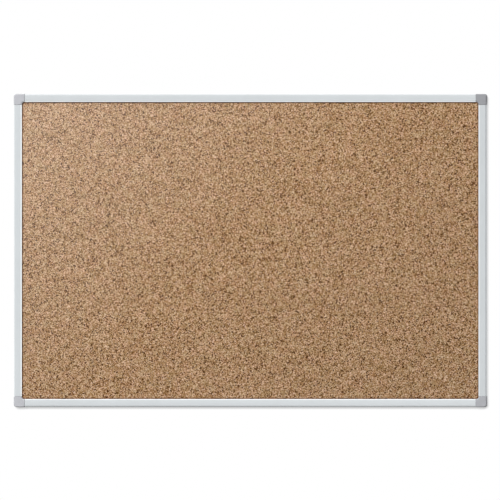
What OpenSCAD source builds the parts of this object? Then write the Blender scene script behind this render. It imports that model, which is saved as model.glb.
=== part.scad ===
// Framed cork bulletin board that hangs on a wall by a screw in each corner.
// A laminated cork panel sits in the groove of four aluminium rails. Moulded corner
// blocks join the rails with plug-in legs, and each block holds a wall screw under a
// cover that swings open on its own trunnions.
//
// Frame of the whole part: X to the right, Z up, front face towards -Y. The origin is
// the middle of the back plane, which lies on the wall.

/* [Board] */
// Overall width, across the corner blocks
board_w = 914; // [450:1:1830]
// Overall height, across the corner blocks
board_h = 602; // [300:1:1220]
// Overall depth, from the wall to the front of the corner covers
board_depth = 18; // [18:0.5:22]
// Width of the frame as seen from the front
face_w = 15.5; // [14:0.1:16]

/* [Rails] */
// Thickness of the extruded walls
wall = 1.2; // [1:0.1:1.4]
// Radius of the outer front edge
rail_edge_r = 3; // [1:0.1:3.2]
// Radius of the slight crown across the front face
crown_r = 60; // [40:1:120]
// Width of the bevel along the inner edge of the frame
bevel_w = 2.4; // [1:0.1:2.8]
// How far that bevel drops towards the cork
bevel_h = 1; // [0.5:0.1:1.2]
// Depth of the cork below the crest of the rails
lip_drop = 3.2; // [2:0.1:3.5]

/* [Panel] */
// Thickness of the cork sheet
cork_t = 3; // [1.5:0.1:4]
// Thickness of the softboard core
core_t = 6.5; // [5:0.1:7]
// Thickness of the backing paper
backing_t = 0.4; // [0.2:0.1:0.6]

/* [Corners] */
// Length of each arm of a corner block
arm_len = 20.5; // [20:0.5:26]
// Radius of the outer corner, seen from the front
corner_r = 5; // [4:0.1:5.5]
// Radius of the inner corner, seen from the front
inner_r = 4.5; // [1:0.1:5]
// How far the corners stand proud of the sides of the rails
side_proud = 0.7; // [0.3:0.1:0.9]
// How far the corners stand proud of the front of the rails
front_proud = 0.4; // [0.2:0.1:0.6]
// Length of the legs that plug into the rails
leg_len = 30; // [20:1:45]

/* [Fixings] */
// Radius of the wall screw's clearance hole
wall_hole_r = 2.25; // [1.75:0.05:2.5]
// Radius of the pocket for the wall screw's head
pocket_r = 4; // [3.5:0.1:4]
// Radius of a rail screw's shank
screw_r = 1.45; // [1.2:0.05:1.6]

/* [Hidden] */
$fn = 48;
crown_fn = 360;
// Overlap of touching shapes, the size of a cut without an end, and how far a cut
// starts outside what it cuts
eps = 0.01;
big = 60;
over = 1;

cork_colour = [0.66, 0.52, 0.39];
core_colour = [0.49, 0.38, 0.27];
paper_colour = [0.64, 0.50, 0.35];
rail_colour = [0.83, 0.85, 0.86];
corner_colour = [0.72, 0.72, 0.75];
screw_colour = [0.66, 0.67, 0.68];

// Fits and gaps
panel_gap = 0.1;      // panel to the lips on either side of its edge
edge_gap = 0.3;       // panel edge to the bottom of the groove
leg_gap = 0.1;        // leg to the rail's chamber
seam_gap = 0.45;      // rail end to corner block
pin_gap = 0.05;       // trunnion to its socket
cover_gap = 0.1;      // cover to the block inside it

// Walls of the rails' section, and the groove for the panel
rear_lip_t = 1.1;
lip_t = 1.3;
lip_web = 1.2;
front_web = 1.7;
groove_web = 1.1;
groove_depth = 4.3;

// Depths, measured forwards from the wall
rail_depth = board_depth - front_proud;
cork_front = rail_depth - lip_drop;
core_front = cork_front - cork_t;
backing_front = core_front - core_t;
panel_rear = backing_front - backing_t;
front_lip = cork_front + panel_gap;
rear_lip = panel_rear - panel_gap;
chamber_front = rail_depth - front_web;

// Distances in from the outer edge of the board
groove_bottom = face_w - groove_depth;
panel_edge = groove_bottom + edge_gap;
chamber_in = side_proud + wall;
chamber_out = groove_bottom - groove_web;
screw_in = (chamber_in + chamber_out) / 2;
panel_w = board_w - 2 * panel_edge;
panel_h = board_h - 2 * panel_edge;

// A rail starts this far from the board's corner
rail_gap = arm_len + seam_gap;

// A bevel's wedge is cut this many times larger than the bevel, to clear the edge
wedge_over = 1.5;

// Corner cover and the block under it
plate_t = 1.6;
skirt_t = 1.3;
cover_edge_r = 1.8;
cover_end_r = 0.5;
cover_depth = 4.4;
plate_rear = board_depth - plate_t;
block_front = plate_rear - cover_gap;
inset = skirt_t + cover_gap;
split = board_depth - cover_depth;

// Hinge of the corner cover: the axis runs up the outer side of the board
knuckle_r = 1.3;
pin_r = 0.65;
pin_len = 1.05;
hinge_in = knuckle_r;
hinge_w = split - knuckle_r;
knuckle_start = 12.25;
knuckle_len = 5.3;
knuckle_gap = 0.15;

// Wall screw's seat, on the diagonal of the corner
seat_in = 6.5;
seat_w = 7;

// Finger notch that lifts the free end of the cover
notch_r = 3;
notch_depth = 0.8;
notch_from_end = 4;
notch_in = arm_len - notch_from_end;

// Bevel of a leg's tip
leg_bevel = 1.5;

// Cored pocket in the back of each arm
core_in = 2.4;
core_out = 8;
core_start = 12.5;
core_end = 18.8;
core_depth = 6;

// Rail screws, countersunk flush in the back of the rails
head_r = 2.55;
head_h = 1.1;
screw_len = 11;
screw_past_arm = 16;
screw_along = arm_len + screw_past_arm;
recess_w = 0.6;
recess_len = 2.6;
recess_depth = 0.7;
shank_gap = 0.05;

CORNERS = ["bottom_left", "bottom_right", "top_left", "top_right"];
SIDES = ["bottom_rail", "left_rail", "top_rail", "right_rail"];
RAIL_SCREWS = ["screw_across", "screw_upright"];

// ---- Places ----

// A corner's own frame: x in from the side, y in from the top or bottom, z forwards
// from the wall. Corners count as in CORNERS: bit 0 is right, bit 1 is top.
module at_corner(i) {
    right = i % 2;
    top = floor(i / 2);
    mirror([right, 0, 0])
        mirror([0, 0, top])
            rotate([90, 0, 0])
                translate([-board_w / 2, -board_h / 2, 0])
                    children();
}

// A rail's own frame: x along it, y in from the board's edge, z forwards. Sides count
// as in SIDES.
module at_side(i) {
    half = (i % 2 == 0 ? board_h : board_w) / 2;
    rotate([0, 90 * i, 0])
        rotate([90, 0, 0])
            translate([0, -half, 0])
                children();
}

// Swaps a corner's two arms, for what repeats on the other arm
module other_arm() {
    mirror([1, -1, 0]) children();
}

// ---- Panel ----

module panel_layer(rear, thickness) {
    translate([-panel_w / 2, -rear - thickness, -panel_h / 2])
        cube([panel_w, thickness, panel_h]);
}

module cork_sheet() {
    color(cork_colour) panel_layer(core_front, cork_t);
}

module core_board() {
    color(core_colour) panel_layer(backing_front, core_t);
}

module backing_paper() {
    color(paper_colour) panel_layer(panel_rear, backing_t);
}

// ---- Rails ----

// Section through an edge: a rectangle with a radius at its front corner, at x = width
module edge_section(width, depth, r) {
    square([width, depth - r]);
    square([width - r, depth]);
    translate([width - r, depth - r]) circle(r);
}

// Wedge that bevels an inner edge at x = face_w, below a front face at y = 0
module bevel_wedge() {
    translate([face_w - bevel_w, 0])
        polygon([
            [0, 0],
            [bevel_w * wedge_over, -bevel_h * wedge_over],
            [bevel_w * wedge_over, bevel_h],
            [0, bevel_h],
        ]);
}

// A rail's section: x in from the board's edge, y forwards
module rail_section() {
    middle = (side_proud + face_w) / 2;
    difference() {
        intersection() {
            translate([face_w, 0])
                mirror([1, 0]) edge_section(face_w - side_proud, rail_depth, rail_edge_r);
            translate([middle, rail_depth - crown_r]) circle(crown_r, $fn = crown_fn);
        }
        translate([0, rail_depth]) bevel_wedge();
        // chamber that takes the corner legs
        translate([chamber_in, wall])
            square([chamber_out - chamber_in, chamber_front - wall]);
        // groove that takes the panel
        translate([groove_bottom, rear_lip]) square([big, front_lip - rear_lip]);
        // hollow behind the front lip
        translate([groove_bottom, front_lip - eps])
            square([face_w - lip_web - groove_bottom, rail_depth - lip_t - front_lip]);
        // recess behind the rear lip
        translate([groove_bottom, -eps]) square([big, rear_lip - rear_lip_t + eps]);
    }
}

// Countersunk hole for a rail screw, with its axis up z from the back
module screw_hole(depth) {
    translate([0, 0, -eps]) cylinder(h = depth + eps, r = screw_r + shank_gap);
    translate([0, 0, -eps])
        cylinder(h = head_h + eps, r1 = head_r + shank_gap, r2 = screw_r + shank_gap);
}

module rail(i) {
    span = i % 2 == 0 ? board_w : board_h;
    length = span - 2 * rail_gap;
    color(rail_colour)
        at_side(i)
            difference() {
                rotate([90, 0, 90])
                    linear_extrude(length, center = true) rail_section();
                for (side = [-1, 1])
                    translate([side * (span / 2 - screw_along), screw_in, 0])
                        screw_hole(wall + over);
            }
}

// ---- Corners ----

// Square corner of a board, rounded as seen from the front, and inset from its sides
module corner_plan(inset_by, size) {
    r = corner_r - inset_by;
    translate([inset_by, inset_by]) {
        translate([r, r]) circle(r);
        translate([r, 0]) square([size - inset_by - r, size - inset_by]);
        translate([0, r]) square([size - inset_by, size - inset_by - r]);
    }
}

// Corner piece as seen from the front: two arms, with the outer corner rounded, and
// the inner corner filled to a radius
module arms_plan(inset_by, width, fill_r) {
    difference() {
        corner_plan(inset_by, arm_len);
        translate([width + fill_r, width]) square(big);
        translate([width, width + fill_r]) square(big);
        translate([width + fill_r, width + fill_r]) circle(fill_r);
    }
}

module arms(inset_by, width, rear, front, fill_r = 0.5) {
    translate([0, 0, rear])
        linear_extrude(front - rear) arms_plan(inset_by, width, fill_r);
}

// Leg that plugs into the rail along x, with a bevelled tip
module leg() {
    leg_in = chamber_in + leg_gap;
    leg_w = chamber_out - leg_gap - leg_in;
    leg_rear = wall + leg_gap;
    leg_h = chamber_front - leg_gap - leg_rear;
    difference() {
        translate([arm_len - over, leg_in, leg_rear])
            cube([leg_len + over, leg_w, leg_h]);
        for (side = [0, 1])
            translate([arm_len + leg_len, leg_in + side * leg_w, leg_rear - over])
                rotate([0, 0, 45])
                    translate([-leg_bevel / 2, -leg_bevel / 2, 0])
                        cube([leg_bevel, leg_bevel, leg_h + 2 * over]);
        translate([screw_along, screw_in, 0])
            cylinder(h = screw_len + over, r = screw_r + shank_gap);
    }
}

// Core-out in the back of the arm along x
module cored_back() {
    translate([core_start, core_in, -eps])
        cube([core_end - core_start, core_out - core_in, core_depth + eps]);
}

// Room for the cover's knuckle to turn, and sockets for its trunnions
module hinge_seat() {
    seat_len = knuckle_len + 2 * knuckle_gap;
    translate([-over, knuckle_start - knuckle_gap, hinge_w - knuckle_r - cover_gap])
        cube([over + 2 * knuckle_r + knuckle_gap, seat_len, big]);
    translate([hinge_in, knuckle_start - pin_len - knuckle_gap, hinge_w])
        rotate([-90, 0, 0])
            cylinder(h = knuckle_len + 2 * (pin_len + knuckle_gap), r = pin_r + pin_gap);
}

// What is cut from the block's outer side so that its front edge is round about the
// hinge axis
module hinge_round() {
    difference() {
        translate([-over, -over, hinge_w])
            cube([over + knuckle_r, arm_len + 2 * over, knuckle_r + eps]);
        translate([hinge_in, -2 * over, hinge_w])
            rotate([-90, 0, 0]) cylinder(h = arm_len + 4 * over, r = knuckle_r);
    }
}

module block_body() {
    arms(0, groove_bottom, 0, split);
    arms(inset, groove_bottom, split - eps, block_front);
    arms(inset, face_w, front_lip, block_front, inner_r);
    arms(0, face_w, rear_lip - rear_lip_t, rear_lip, inner_r);
    leg();
    other_arm() leg();
}

module block(i) {
    color(corner_colour)
        at_corner(i)
            difference() {
                block_body();
                translate([seat_in, seat_in, -over]) cylinder(h = big, r = wall_hole_r);
                translate([seat_in, seat_in, seat_w]) cylinder(h = big, r = pocket_r);
                cored_back();
                other_arm() cored_back();
                hinge_seat();
                hinge_round();
                translate([notch_in, -over, split - notch_depth + notch_r])
                    rotate([-90, 0, 0]) cylinder(h = over + inset, r = notch_r);
            }
}

// Outer form of a corner, with its front edge rounded all the way round
module corner_form(rear, front, edge_r) {
    flat = arm_len - corner_r;
    depth = front - rear;
    translate([0, 0, rear]) {
        translate([corner_r, corner_r, 0])
            rotate([0, 0, 180])
                rotate_extrude(angle = 90) edge_section(corner_r, depth, edge_r);
        translate([corner_r + flat, corner_r, 0])
            rotate([90, 0, -90])
                linear_extrude(flat) edge_section(corner_r, depth, edge_r);
        other_arm()
            translate([corner_r + flat, corner_r, 0])
                rotate([90, 0, -90])
                    linear_extrude(flat) edge_section(corner_r, depth, edge_r);
        translate([corner_r, corner_r, 0]) cube([flat, flat, depth]);
    }
}

// Holds a cover's arms to their length, with the front edge of their ends rounded
module end_form() {
    translate([0, arm_len, 0])
        rotate([90, 0, 0])
            linear_extrude(arm_len) edge_section(arm_len, board_depth, cover_end_r);
}

// Cut that bevels the inner edge of a cover along both arms and round the fillet
module inner_bevel() {
    middle = face_w + inner_r;
    translate([middle, middle, board_depth - bevel_h])
        cylinder(
            h = bevel_h * wedge_over,
            r1 = inner_r,
            r2 = inner_r + bevel_w * wedge_over
        );
    straight_bevel(middle);
    other_arm() straight_bevel(middle);
}

module straight_bevel(start) {
    translate([start, 0, board_depth])
        rotate([90, 0, 90]) linear_extrude(arm_len) bevel_wedge();
}

module cover(i) {
    color(corner_colour)
        at_corner(i) {
            difference() {
                intersection() {
                    corner_form(split + cover_gap / 2, board_depth, cover_edge_r);
                    arms(0, face_w, 0, board_depth + over, inner_r);
                    end_form();
                    other_arm() end_form();
                }
                inner_bevel();
                translate([0, 0, split - over])
                    linear_extrude(plate_rear - split + over) corner_plan(skirt_t, big);
            }
            hinge_knuckle();
        }
}

// Knuckle, its trunnions and the web that joins it to the cover's skirt
module hinge_knuckle() {
    translate([hinge_in, knuckle_start, hinge_w]) {
        rotate([-90, 0, 0]) cylinder(h = knuckle_len, r = knuckle_r);
        translate([0, -pin_len, 0])
            rotate([-90, 0, 0]) cylinder(h = knuckle_len + 2 * pin_len, r = pin_r);
    }
    translate([0, knuckle_start, hinge_w])
        cube([skirt_t, knuckle_len, plate_rear - hinge_w]);
}

// ---- Rail screws ----

module rail_screw() {
    difference() {
        union() {
            cylinder(h = head_h, r1 = head_r, r2 = screw_r);
            cylinder(h = screw_len, r = screw_r);
        }
        for (turn = [0, 90])
            rotate([0, 0, turn])
                translate([-recess_len / 2, -recess_w / 2, -eps])
                    cube([recess_len, recess_w, recess_depth + eps]);
    }
}

// Screw 0 of a corner holds the rail that runs across, and screw 1 the upright one
module corner_screw(i, which) {
    color(screw_colour)
        at_corner(i)
            translate(which == 0 ? [screw_along, screw_in, 0] : [screw_in, screw_along, 0])
                rail_screw();
}

// ---- Assembly ----

cork_sheet();
core_board();
backing_paper();
for (i = [0:3]) {
    rail(i);
    block(i);
    cover(i);
    for (which = [0, 1])
        corner_screw(i, which);
}
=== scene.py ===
"""A framed cork bulletin board: the looks of each piece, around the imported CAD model."""

import math

import bmesh
import bpy
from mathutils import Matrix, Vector


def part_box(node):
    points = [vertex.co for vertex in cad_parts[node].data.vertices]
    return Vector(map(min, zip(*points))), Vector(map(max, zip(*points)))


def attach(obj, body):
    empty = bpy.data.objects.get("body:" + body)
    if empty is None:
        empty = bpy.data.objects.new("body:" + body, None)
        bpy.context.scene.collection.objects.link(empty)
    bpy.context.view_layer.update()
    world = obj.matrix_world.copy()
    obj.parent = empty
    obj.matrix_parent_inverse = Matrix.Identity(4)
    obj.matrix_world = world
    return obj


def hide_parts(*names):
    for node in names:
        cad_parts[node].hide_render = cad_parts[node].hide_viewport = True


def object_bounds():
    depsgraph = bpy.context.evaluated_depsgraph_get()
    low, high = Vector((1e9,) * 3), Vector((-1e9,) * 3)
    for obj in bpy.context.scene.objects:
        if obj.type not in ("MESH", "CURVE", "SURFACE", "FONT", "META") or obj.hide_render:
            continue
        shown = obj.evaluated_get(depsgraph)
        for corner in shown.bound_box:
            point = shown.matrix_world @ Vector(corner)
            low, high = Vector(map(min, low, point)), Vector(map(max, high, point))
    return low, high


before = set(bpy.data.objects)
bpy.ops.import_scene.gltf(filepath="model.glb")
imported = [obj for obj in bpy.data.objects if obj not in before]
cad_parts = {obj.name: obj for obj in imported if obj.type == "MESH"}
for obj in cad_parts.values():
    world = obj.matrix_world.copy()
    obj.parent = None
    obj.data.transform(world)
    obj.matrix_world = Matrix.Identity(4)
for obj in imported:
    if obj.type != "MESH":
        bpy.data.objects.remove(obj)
cad_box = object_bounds()

MM = 0.001

# Each rail: the direction from it to the middle of the board, and the brightness of its
# faces, painted light or shade for its side, and of its bevel, a painted highlight
RAILS = {
    "bottom_rail": ((0, 0, 1), 1.07, 1.38),
    "left_rail": ((1, 0, 0), 1.06, 1.6),
    "top_rail": ((0, 0, -1), 1.03, 1.6),
    "right_rail": ((-1, 0, 0), 0.99, 1.3),
}
# Each corner: painted light and shade on its plastic, as a share of the lightest; the plastic itself
# is the same on all
CORNERS = {"bottom_left": 0.83, "bottom_right": 0.78, "top_left": 0.69, "top_right": 0.53}
SCREWS = ("screw_across", "screw_upright")

# Cork granules: the cells of the coarse and the fine ones, and of the dark specks
GRANULE = 1.5 * MM
FINE_GRANULE = 1.1 * MM
SPECK = 2.0 * MM
# How far the granules' outlines wander, and over what distance
WANDER = 1.6 * MM
WANDER_STEP = 2.2 * MM
# Cork relief: the step of the front's grid, the depth of the relief, the flat strip that it
# leaves at the rim, and the width over which it fades out
RELIEF_STEP = 2.35 * MM
RELIEF_DEPTH = 0.3 * MM
RELIEF_MARGIN = 3.5 * MM
RELIEF_FADE = 2 * MM
# Painted shade on the cork where it meets the rails, darker and browner: what it keeps of its
# own colour there, and how far from the window's edge the shade starts and is at its full
CORK_RIM_SHADE = (0.5, 0.41, 0.36)
RIM_SHADE_WIDTH = 3.6 * MM
RIM_SHADE_FULL = 1 * MM
# The share of painted glare, a pale sheen, on the cork in the top left corner
CORK_GLARE_SHARE = 0.10

# Camera, in degrees and metres: an orthographic one, a little to the right of straight ahead.
# It aims just past the board's middle, to the left and above.
AZIMUTH = 6
ELEVATION = 0
CAMERA_DISTANCE = 1.5
VIEW_WIDTH = 0.9613
AIM_RIGHT = -0.0011
AIM_UP = 0.0010
CLIP_END = 100

# Floor and wall: how far they reach to each side, their corners, the floor's height, and the
# gap between the board and the wall
REACH = 40
SQUARE = ((-REACH, -REACH), (REACH, -REACH), (REACH, REACH), (-REACH, REACH))
FLOOR_Z = -1.6
WALL_GAP = 0.5 * MM
# The board's soft shadow on the wall: its width, how far its light leans to the top left, its
# darkest level, and the open share of the surround there and where the shadow ends
WALL_SHADOW = 7.5 * MM
WALL_LEAN = (-1.6, 0, 3.2)
WALL_DARKEST = 0.4
WALL_HIDDEN = 0.4
WALL_OPEN = 0.8

# Lights: place in metres, size in metres and power in watts. Only the fill light shows in
# reflections.
LIGHTS = {
    "key_light": ((-1.6, -2.1, 1.9), 0.9, 104),
    "fill_light": ((1.8, -2.6, 0.2), 2.5, 8),
    "back_light": ((1.5, 2.5, 1.5), 1.5, 60),
}
MIRRORED_LIGHT = "fill_light"
# The white surround: its strength for the camera, in reflections and as soft light
SURROUND_SEEN = 1.0
SURROUND_MIRRORED = 1.06
SURROUND_SOFT = 0.37
# The side that its light comes from. Along it, from about -1 to 1, the strength rises from the
# shady share to 1 over one band, and from 1 to the glare share over the other.
LIT_SIDE = (-0.55, 0, 0.83)
SHADY_SHARE = 0.08
SHADY_BAND = (-0.88, -0.4)
GLARE_SHARE = 1.45
GLARE_BAND = (0.25, 0.8)


# ---- Node trees ----

# Noise lies mostly between these levels
NOISE_LOW = 0.3
NOISE_HIGH = 0.7


class Tree:
    """Adds nodes to a node tree. An input is a value, or another node's socket to link."""

    def __init__(self, tree):
        self.tree = tree

    def add(self, kind, inputs=None, out=0, **settings):
        """A new node's output, or None where it has none."""
        node = self.tree.nodes.new(kind)
        for name, value in settings.items():
            setattr(node, name, value)
        for name, value in (inputs or {}).items():
            if isinstance(value, bpy.types.NodeSocket):
                self.tree.links.new(value, node.inputs[name])
            else:
                node.inputs[name].default_value = value
        return node.outputs[out] if node.outputs else None

    def math(self, operation, a, b=0.0):
        return self.add("ShaderNodeMath", {0: a, 1: b}, operation=operation)

    def vector(self, operation, a, b=(0, 0, 0), out=0):
        return self.add("ShaderNodeVectorMath", {0: a, 1: b}, operation=operation, out=out)

    def dot(self, a, b):
        return self.vector("DOT_PRODUCT", a, b, out=1)

    def scaled(self, vector, factor):
        """A vector or a colour multiplied by a number."""
        inputs = {0: vector, "Scale": factor}
        return self.add("ShaderNodeVectorMath", inputs, operation="SCALE")

    def axis(self, vector, n):
        """Part n of a vector or a colour, from 0 to 2."""
        return self.add("ShaderNodeSeparateXYZ", {0: vector}, out=n)

    def noise(self, position, scale, detail=2.0, roughness=0.5, out=0):
        """Noise with about scale features to the metre."""
        inputs = {"Vector": position, "Scale": scale, "Detail": detail, "Roughness": roughness}
        return self.add("ShaderNodeTexNoise", inputs, out=out)

    def cells(self, position, size):
        """A random level for each cell of about size metres: three of them, as a colour."""
        return self.add("ShaderNodeTexVoronoi", {"Vector": position, "Scale": 1 / size}, out="Color")

    def cell_edge(self, position, size):
        """How far the nearest edge of such a cell is, in cells."""
        inputs = {"Vector": position, "Scale": 1 / size}
        return self.add("ShaderNodeTexVoronoi", inputs, feature="DISTANCE_TO_EDGE")

    def ramp(self, value, low, high, start=0.0, end=1.0):
        """value from low..high to start..end, held at both ends."""
        inputs = {"Value": value, "From Min": low, "From Max": high, "To Min": start, "To Max": end}
        return self.add("ShaderNodeMapRange", inputs)

    def varied(self, value, start, end):
        """A noise value as a level from start to end."""
        return self.ramp(value, NOISE_LOW, NOISE_HIGH, start, end)

    def colours(self, value, stops):
        """A colour ramp through stops, as (place, linear colour) pairs."""
        node = self.tree.nodes.new("ShaderNodeValToRGB")
        while len(node.color_ramp.elements) < len(stops):
            node.color_ramp.elements.new(0.5)
        for element, (place, colour) in zip(node.color_ramp.elements, stops):
            element.position = place
            element.color = (*colour, 1)
        self.tree.links.new(value, node.inputs[0])
        return node.outputs[0]

    def two_tone(self, value, dark, light):
        """A noise value as a colour from dark to light."""
        return self.colours(value, ((NOISE_LOW, dark), (NOISE_HIGH, light)))

    def mix(self, share, a, b):
        """Colour a, with share of b mixed in."""
        inputs = {0: share, 6: opaque(a), 7: opaque(b)}
        return self.add("ShaderNodeMix", inputs, out=2, data_type="RGBA")

    def bump(self, height, depth):
        """A normal for a height of one that stands depth metres tall."""
        return self.add("ShaderNodeBump", {"Height": height, "Distance": depth})


def opaque(colour):
    """A colour as an input wants it: a socket as it is, three numbers with an alpha."""
    return colour if isinstance(colour, bpy.types.NodeSocket) else (*colour, 1)


def srgb(red, green, blue):
    """The linear colour of 8-bit sRGB values."""
    linear = []
    for level in (red, green, blue):
        share = level / 255
        linear.append(share / 12.92 if share <= 0.04045 else ((share + 0.055) / 1.055) ** 2.4)
    return tuple(linear)


def empty_tree(owner):
    """The cleared node tree of a material or a world."""
    owner.use_nodes = True
    owner.node_tree.nodes.clear()
    return Tree(owner.node_tree)


def material(name, build):
    """A material whose surface build(tree) returns as the inputs of a Principled BSDF."""
    made = bpy.data.materials.new(name)
    tree = empty_tree(made)
    surface = tree.add("ShaderNodeBsdfPrincipled", build(tree))
    tree.add("ShaderNodeOutputMaterial", {"Surface": surface})
    return made


def place(tree):
    """Where the shaded point is on its own piece, in metres."""
    return tree.add("ShaderNodeTexCoord", out="Object")


def paint(name, made):
    """Gives a CAD node one material."""
    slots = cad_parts[name].data.materials
    slots.clear()
    slots.append(made)


def linked(name, data):
    """A new object in the scene that shows data."""
    made = bpy.data.objects.new(name, data)
    bpy.context.scene.collection.objects.link(made)
    return made


# ---- Cork ----

# The granules by tone, the seams and specks between them, and the pale of the painted glare
CORK_TONES = (
    (0.18, srgb(78, 42, 14)),
    (0.37, srgb(159, 119, 74)),
    (0.58, srgb(192, 154, 113)),
    (0.82, srgb(232, 203, 177)),
)
CORK_DARK = srgb(72, 36, 12)
CORK_GLARE = srgb(215, 205, 200)
# Its slight cast, from one patch to the next
CORK_GREENISH = (0.975, 1.01, 0.97)
CORK_RUDDY = (1.03, 0.99, 1.0)


def granules(tree, position):
    """Pressed granules: (tone, edge distance, specks), for the colour and for the relief."""
    wander = tree.noise(position, 1 / WANDER_STEP, detail=1, out="Color")
    wander = tree.scaled(tree.vector("SUBTRACT", wander, (0.5, 0.5, 0.5)), WANDER)
    position = tree.vector("ADD", position, wander)
    coarse = tree.axis(tree.cells(position, GRANULE), 0)
    fine = tree.axis(tree.cells(position, FINE_GRANULE), 0)
    tone = tree.math("ADD", tree.math("MULTIPLY", coarse, 0.55), tree.math("MULTIPLY", fine, 0.45))
    edge = tree.cell_edge(position, GRANULE)
    speck = tree.axis(tree.cells(position, SPECK), 1)
    return tone, edge, tree.ramp(speck, 0.905, 0.92)


def cork(tree):
    """Light and dark granules with dark seams, and a painted pale glare in the top left corner."""
    position = place(tree)
    tone, edge, specks = granules(tree, position)
    colour = tree.colours(tone, CORK_TONES)
    colour = tree.mix(tree.math("MULTIPLY", specks, 0.95), colour, CORK_DARK)
    colour = tree.mix(tree.ramp(edge, 0.0, 0.10, 0.45, 0.0), colour, CORK_DARK)
    blotch = tree.noise(position, 14, detail=3)
    colour = tree.scaled(colour, tree.varied(blotch, 0.98, 1.02))
    ruddy = tree.ramp(tree.noise(position, 60, detail=3), 0.35, 0.65)
    colour = tree.vector("MULTIPLY", colour, tree.mix(ruddy, CORK_GREENISH, CORK_RUDDY))
    grain = tree.noise(position, 2000, detail=3)
    colour = tree.scaled(colour, tree.varied(grain, 0.92, 1.08))
    # Painted glare: paler cork towards the top left corner, where the light falls
    to_glare_corner = tree.dot(position, (-1, 0, 1))
    colour = tree.mix(tree.ramp(to_glare_corner, 0.05, 0.65, 0.0, CORK_GLARE_SHARE), colour, CORK_GLARE)
    # Painted shade along the window's edges, where the rails shade the cork
    colour = painted_rim_shade(tree, position, colour)
    height = tree.math("ADD", grain, tree.ramp(edge, 0.0, 0.12, -0.8, 0.0))
    return {
        "Base Color": colour,
        "Roughness": 0.85,
        "Specular IOR Level": 0.1,
        "Normal": tree.bump(height, 0.12 * MM),
    }


def painted_rim_shade(tree, position, colour):
    """The cork's colour, with painted shade near the edges of the window that the rails leave."""
    window_edges = {0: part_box("right_rail")[0].x, 2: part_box("top_rail")[0].z}
    for axis, edge in window_edges.items():
        from_middle = tree.math("ABSOLUTE", tree.axis(position, axis))
        rim_shade = tree.ramp(from_middle, edge - RIM_SHADE_WIDTH, edge - RIM_SHADE_FULL)
        colour = tree.mix(rim_shade, colour, tree.vector("MULTIPLY", colour, CORK_RIM_SHADE))
    return colour


def spaced(low, high, step):
    """Places from low to high, evenly spaced by about step."""
    count = max(1, round((high - low) / step))
    return [low + (high - low) * n / count for n in range(count + 1)]


def cork_slab():
    """The cork sheet as a closed slab, its front face a fine grid."""
    low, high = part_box("cork_sheet")
    xs, zs = spaced(low.x, high.x, RELIEF_STEP), spaced(low.z, high.z, RELIEF_STEP)
    mesh = bmesh.new()
    front = [[mesh.verts.new((x, low.y, z)) for z in zs] for x in xs]
    for column, following in zip(front, front[1:]):
        for n in range(len(zs) - 1):
            mesh.faces.new((column[n], following[n], following[n + 1], column[n + 1]))
    rim = [column[0] for column in front]
    rim += front[-1][1:]
    rim += [column[-1] for column in front[-2::-1]]
    rim += front[0][-2:0:-1]
    back = [mesh.verts.new((v.co.x, high.y, v.co.z)) for v in rim]
    for n, vertex in enumerate(rim):
        following = (n + 1) % len(rim)
        mesh.faces.new((vertex, back[n], back[following], rim[following]))
    mesh.faces.new(back)
    bmesh.ops.recalc_face_normals(mesh, faces=mesh.faces)
    data = bpy.data.meshes.new("cork")
    mesh.to_mesh(data)
    mesh.free()
    return linked("cork", data)


def relief_nodes():
    """Geometry nodes that sink the slab's front between its granules, but not at its rim."""
    low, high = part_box("cork_sheet")
    group = bpy.data.node_groups.new("cork_relief", "GeometryNodeTree")
    for direction in ("INPUT", "OUTPUT"):
        group.interface.new_socket("Geometry", in_out=direction, socket_type="NodeSocketGeometry")
    tree = Tree(group)
    position = tree.add("GeometryNodeInputPosition")
    tone, edge, specks = granules(tree, position)
    depth = tree.ramp(tone, 0.1, 0.9, 0.6, 0.0)
    depth = tree.math("ADD", depth, tree.math("MULTIPLY", specks, 0.2))
    depth = tree.math("ADD", depth, tree.ramp(edge, 0.0, 0.2, 0.3, 0.0))
    for axis in (0, 2):
        from_middle = tree.math("ABSOLUTE", tree.axis(position, axis))
        flat_from = high[axis] - RELIEF_MARGIN
        inside = tree.ramp(from_middle, flat_from - RELIEF_FADE, flat_from, 1.0, 0.0)
        depth = tree.math("MULTIPLY", depth, inside)
    is_front = tree.ramp(tree.axis(position, 1), low.y + 0.1 * MM, low.y + 0.2 * MM, 1.0, 0.0)
    depth = tree.math("MULTIPLY", tree.math("MULTIPLY", depth, is_front), RELIEF_DEPTH)
    offset = tree.add("ShaderNodeCombineXYZ", {1: depth})
    slab = tree.add("NodeGroupInput")
    pressed = tree.add("GeometryNodeSetPosition", {"Geometry": slab, "Offset": offset})
    tree.add("NodeGroupOutput", {0: pressed})
    return group


def press_relief(slab):
    """Gives the slab's mesh its relief for good."""
    slab.modifiers.new("relief", "NODES").node_group = relief_nodes()
    bpy.context.view_layer.update()
    pressed = slab.evaluated_get(bpy.context.evaluated_depsgraph_get())
    shaped = bpy.data.meshes.new_from_object(pressed)
    slab.modifiers.clear()
    slab.data = shaped


slab = cork_slab()
press_relief(slab)
slab.data.materials.append(material("cork", cork))
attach(slab, "board")
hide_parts("cork_sheet")


# ---- Panel behind the cork ----


def softboard(tree):
    """Raw wood-fibre board."""
    fibres = tree.noise(tree.vector("MULTIPLY", place(tree), (1, 3, 1)), 900, detail=4)
    colour = tree.two_tone(fibres, srgb(120, 92, 64), srgb(168, 136, 100))
    return {"Base Color": colour, "Roughness": 0.95, "Normal": tree.bump(fibres, 0.3 * MM)}


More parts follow.
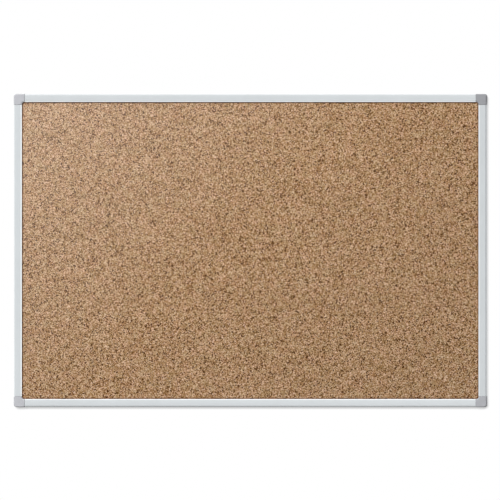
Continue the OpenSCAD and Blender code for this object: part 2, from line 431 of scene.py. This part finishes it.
def kraft_paper(tree):
    """Brown kraft paper, cockled a little, with streaks along its roll and darker fibres."""
    position = place(tree)
    thin = tree.vector("MULTIPLY", position, (1, 1, 4))
    fibres = tree.noise(thin, 420, detail=5, roughness=0.65)
    colour = tree.two_tone(fibres, srgb(164, 128, 88), srgb(198, 162, 118))
    clouds = tree.noise(position, 9, detail=4)
    colour = tree.scaled(colour, tree.varied(clouds, 0.93, 1.05))
    drawn_out = tree.vector("MULTIPLY", position, (1, 1, 7))
    streaks = tree.noise(drawn_out, 8, detail=6, roughness=0.6)
    colour = tree.scaled(colour, tree.varied(streaks, 0.91, 1.08))
    long_cells = tree.cells(tree.vector("MULTIPLY", position, (0.6, 1, 1)), 1.3 * MM)
    shives = tree.ramp(tree.axis(long_cells, 0), 0.9, 0.94, 0.0, 0.28)
    colour = tree.mix(shives, colour, srgb(112, 80, 48))
    cockle = tree.noise(position, 22, detail=2)
    height = tree.math("ADD", tree.math("MULTIPLY", cockle, 14.0), fibres)
    return {"Base Color": colour, "Roughness": 0.75, "Normal": tree.bump(height, 0.08 * MM)}


paint("core_board", material("softboard", softboard))
paint("backing_paper", material("kraft_paper", kraft_paper))


# ---- Frame ----

# How much narrower than long the drawn lines of the rails are
LINE_SHARE = 0.02


def anodised(inward, tone, bevel_highlight_tone):
    """Satin anodised aluminium with drawn lines, painted light by tone and a painted bevel
    highlight.
    """

    def build(tree):
        along = (LINE_SHARE, 1, 1) if inward[2] else (1, 1, LINE_SHARE)
        position = tree.vector("MULTIPLY", place(tree), along)
        lines = tree.noise(position, 4000, detail=4, roughness=0.6)
        clouds = tree.noise(place(tree), 25, detail=3)
        colour = tree.two_tone(lines, srgb(198, 202, 204), srgb(209, 213, 215))
        # tone: painted light or shade, lighter or darker for each rail's side
        colour = tree.scaled(colour, tree.varied(clouds, 0.985 * tone, 1.015 * tone))
        towards_middle = tree.dot(tree.add("ShaderNodeTexCoord", out="Normal"), inward)
        # Painted highlight: the inner bevel is lighter than the face
        bevel = tree.ramp(towards_middle, 0.25, 0.35, 1.0, bevel_highlight_tone / tone)
        return {
            "Base Color": tree.scaled(colour, bevel),
            "Metallic": 0.85,
            "Roughness": tree.varied(lines, 0.52, 0.6),
            "Normal": tree.bump(lines, 0.02 * MM),
        }

    return build


def plastic(tone):
    """Light grey plastic with a fine moulded grain, darkened by tone as painted shade."""

    def build(tree):
        position = place(tree)
        grain = tree.noise(position, 1 / (0.35 * MM), detail=2)
        clouds = tree.noise(position, 120, detail=3)
        shade = tree.math("MULTIPLY", tree.varied(clouds, 0.97, 1.03), tone)
        return {
            "Base Color": tree.scaled(srgb(204, 205, 210), shade),
            "Roughness": tree.varied(grain, 0.5, 0.62),
            "Normal": tree.bump(grain, 0.03 * MM),
        }

    return build


def zinc(tree):
    """Zinc plating with a fine bloom."""
    bloom = tree.noise(place(tree), 700, detail=3)
    return {
        "Base Color": tree.two_tone(bloom, srgb(176, 180, 184), srgb(208, 208, 204)),
        "Metallic": 1.0,
        "Roughness": tree.varied(bloom, 0.25, 0.4),
        "Normal": tree.bump(bloom, 0.02 * MM),
    }


# Each rail gets its own painted light or shade, and a painted highlight on its bevel
for rail, direction_and_shading in RAILS.items():
    paint(rail, material(rail, anodised(*direction_and_shading)))
screw_zinc = material("zinc", zinc)
# Each corner's plastic gets its own painted shade
for corner, tone in CORNERS.items():
    corner_shaded_plastic = material(f"{corner}_plastic", plastic(tone))
    paint(f"{corner}_block", corner_shaded_plastic)
    paint(f"{corner}_cover", corner_shaded_plastic)
    for screw in SCREWS:
        paint(f"{corner}_{screw}", screw_zinc)


# ---- Stage ----


def stage_plane(name, corners, made):
    """One face of the stage, hidden from soft light and from reflections."""
    data = bpy.data.meshes.new(name)
    data.from_pydata(corners, [], [tuple(range(len(corners)))])
    data.materials.append(made)
    plane = linked(name, data)
    plane.visible_diffuse = False
    plane.visible_glossy = False
    return plane


def floor_paint(tree):
    """Plain pale floor."""
    return {"Base Color": (0.86, 0.86, 0.85, 1), "Roughness": 0.9}


def wall_paint():
    """White with the board's soft shadow, and clear from behind."""
    made = bpy.data.materials.new("wall")
    tree = empty_tree(made)
    leaning = tree.vector("ADD", tree.add("ShaderNodeNewGeometry", out="Normal"), WALL_LEAN)
    inputs = {"Distance": WALL_SHADOW, "Normal": tree.vector("NORMALIZE", leaning)}
    unhidden = tree.add("ShaderNodeAmbientOcclusion", inputs, out="AO", samples=32)
    white = tree.ramp(unhidden, WALL_HIDDEN, WALL_OPEN, WALL_DARKEST, 1.0)
    front = tree.add("ShaderNodeEmission", {"Strength": white})
    behind = tree.add("ShaderNodeBsdfTransparent")
    is_back = tree.add("ShaderNodeNewGeometry", out="Backfacing")
    surface = tree.add("ShaderNodeMixShader", {0: is_back, 1: front, 2: behind})
    tree.add("ShaderNodeOutputMaterial", {"Surface": surface})
    return made


def wall():
    """The wall, close behind the board, which only the camera sees."""
    y = cad_box[1].y + WALL_GAP
    plane = stage_plane("wall", [(x, y, z) for x, z in SQUARE], wall_paint())
    plane.visible_transmission = False
    plane.visible_shadow = False


def area_light(name, location, size, power):
    """A round light that looks at the middle of the board."""
    data = bpy.data.lights.new(name, "AREA")
    data.shape = "DISK"
    data.size = size
    data.energy = power
    light = linked(name, data)
    light.location = location
    light.rotation_euler = (-Vector(location)).to_track_quat("-Z", "Y").to_euler()
    light.visible_camera = False
    light.visible_glossy = name == MIRRORED_LIGHT


def surround():
    """A white world, whose light and reflections are dim away from the lit side."""
    world = bpy.data.worlds.new("studio")
    tree = empty_tree(world)
    direct = tree.add("ShaderNodeLightPath", out="Is Camera Ray")
    glossy = tree.add("ShaderNodeLightPath", out="Is Glossy Ray")
    strength = tree.ramp(glossy, 0, 1, SURROUND_SOFT, SURROUND_MIRRORED)
    lit = tree.dot(tree.add("ShaderNodeTexCoord", out="Generated"), LIT_SIDE)
    for band, start, end in ((SHADY_BAND, SHADY_SHARE, 1.0), (GLARE_BAND, 1.0, GLARE_SHARE)):
        strength = tree.math("MULTIPLY", strength, tree.ramp(lit, *band, start, end))
    strength = tree.math("MAXIMUM", strength, tree.math("MULTIPLY", direct, SURROUND_SEEN))
    background = tree.add("ShaderNodeBackground", {"Color": (1, 1, 1, 1), "Strength": strength})
    tree.add("ShaderNodeOutputWorld", {"Surface": background})
    world.cycles.sampling_method = "NONE"
    bpy.context.scene.world = world


def camera():
    """An orthographic camera that looks at the middle of the board."""
    data = bpy.data.cameras.new("camera")
    data.type = "ORTHO"
    data.ortho_scale = VIEW_WIDTH
    data.clip_end = CLIP_END
    azimuth, elevation = math.radians(AZIMUTH), math.radians(ELEVATION)
    back = Vector(
        (
            math.sin(azimuth) * math.cos(elevation),
            -math.cos(azimuth) * math.cos(elevation),
            math.sin(elevation),
        )
    )
    turn = (-back).to_track_quat("-Z", "Y")
    low, high = cad_box
    aim = (low + high) / 2 + turn @ Vector((AIM_RIGHT, AIM_UP, 0))
    made = linked("camera", data)
    made.location = aim + back * CAMERA_DISTANCE
    made.rotation_euler = turn.to_euler()
    bpy.context.scene.camera = made


stage_plane("floor", [(x, y, FLOOR_Z) for x, y in SQUARE], material("floor", floor_paint))
wall()
for name, (location, size, power) in LIGHTS.items():
    area_light(name, location, size, power)
surround()
bpy.context.scene.view_settings.view_transform = "Standard"
camera()
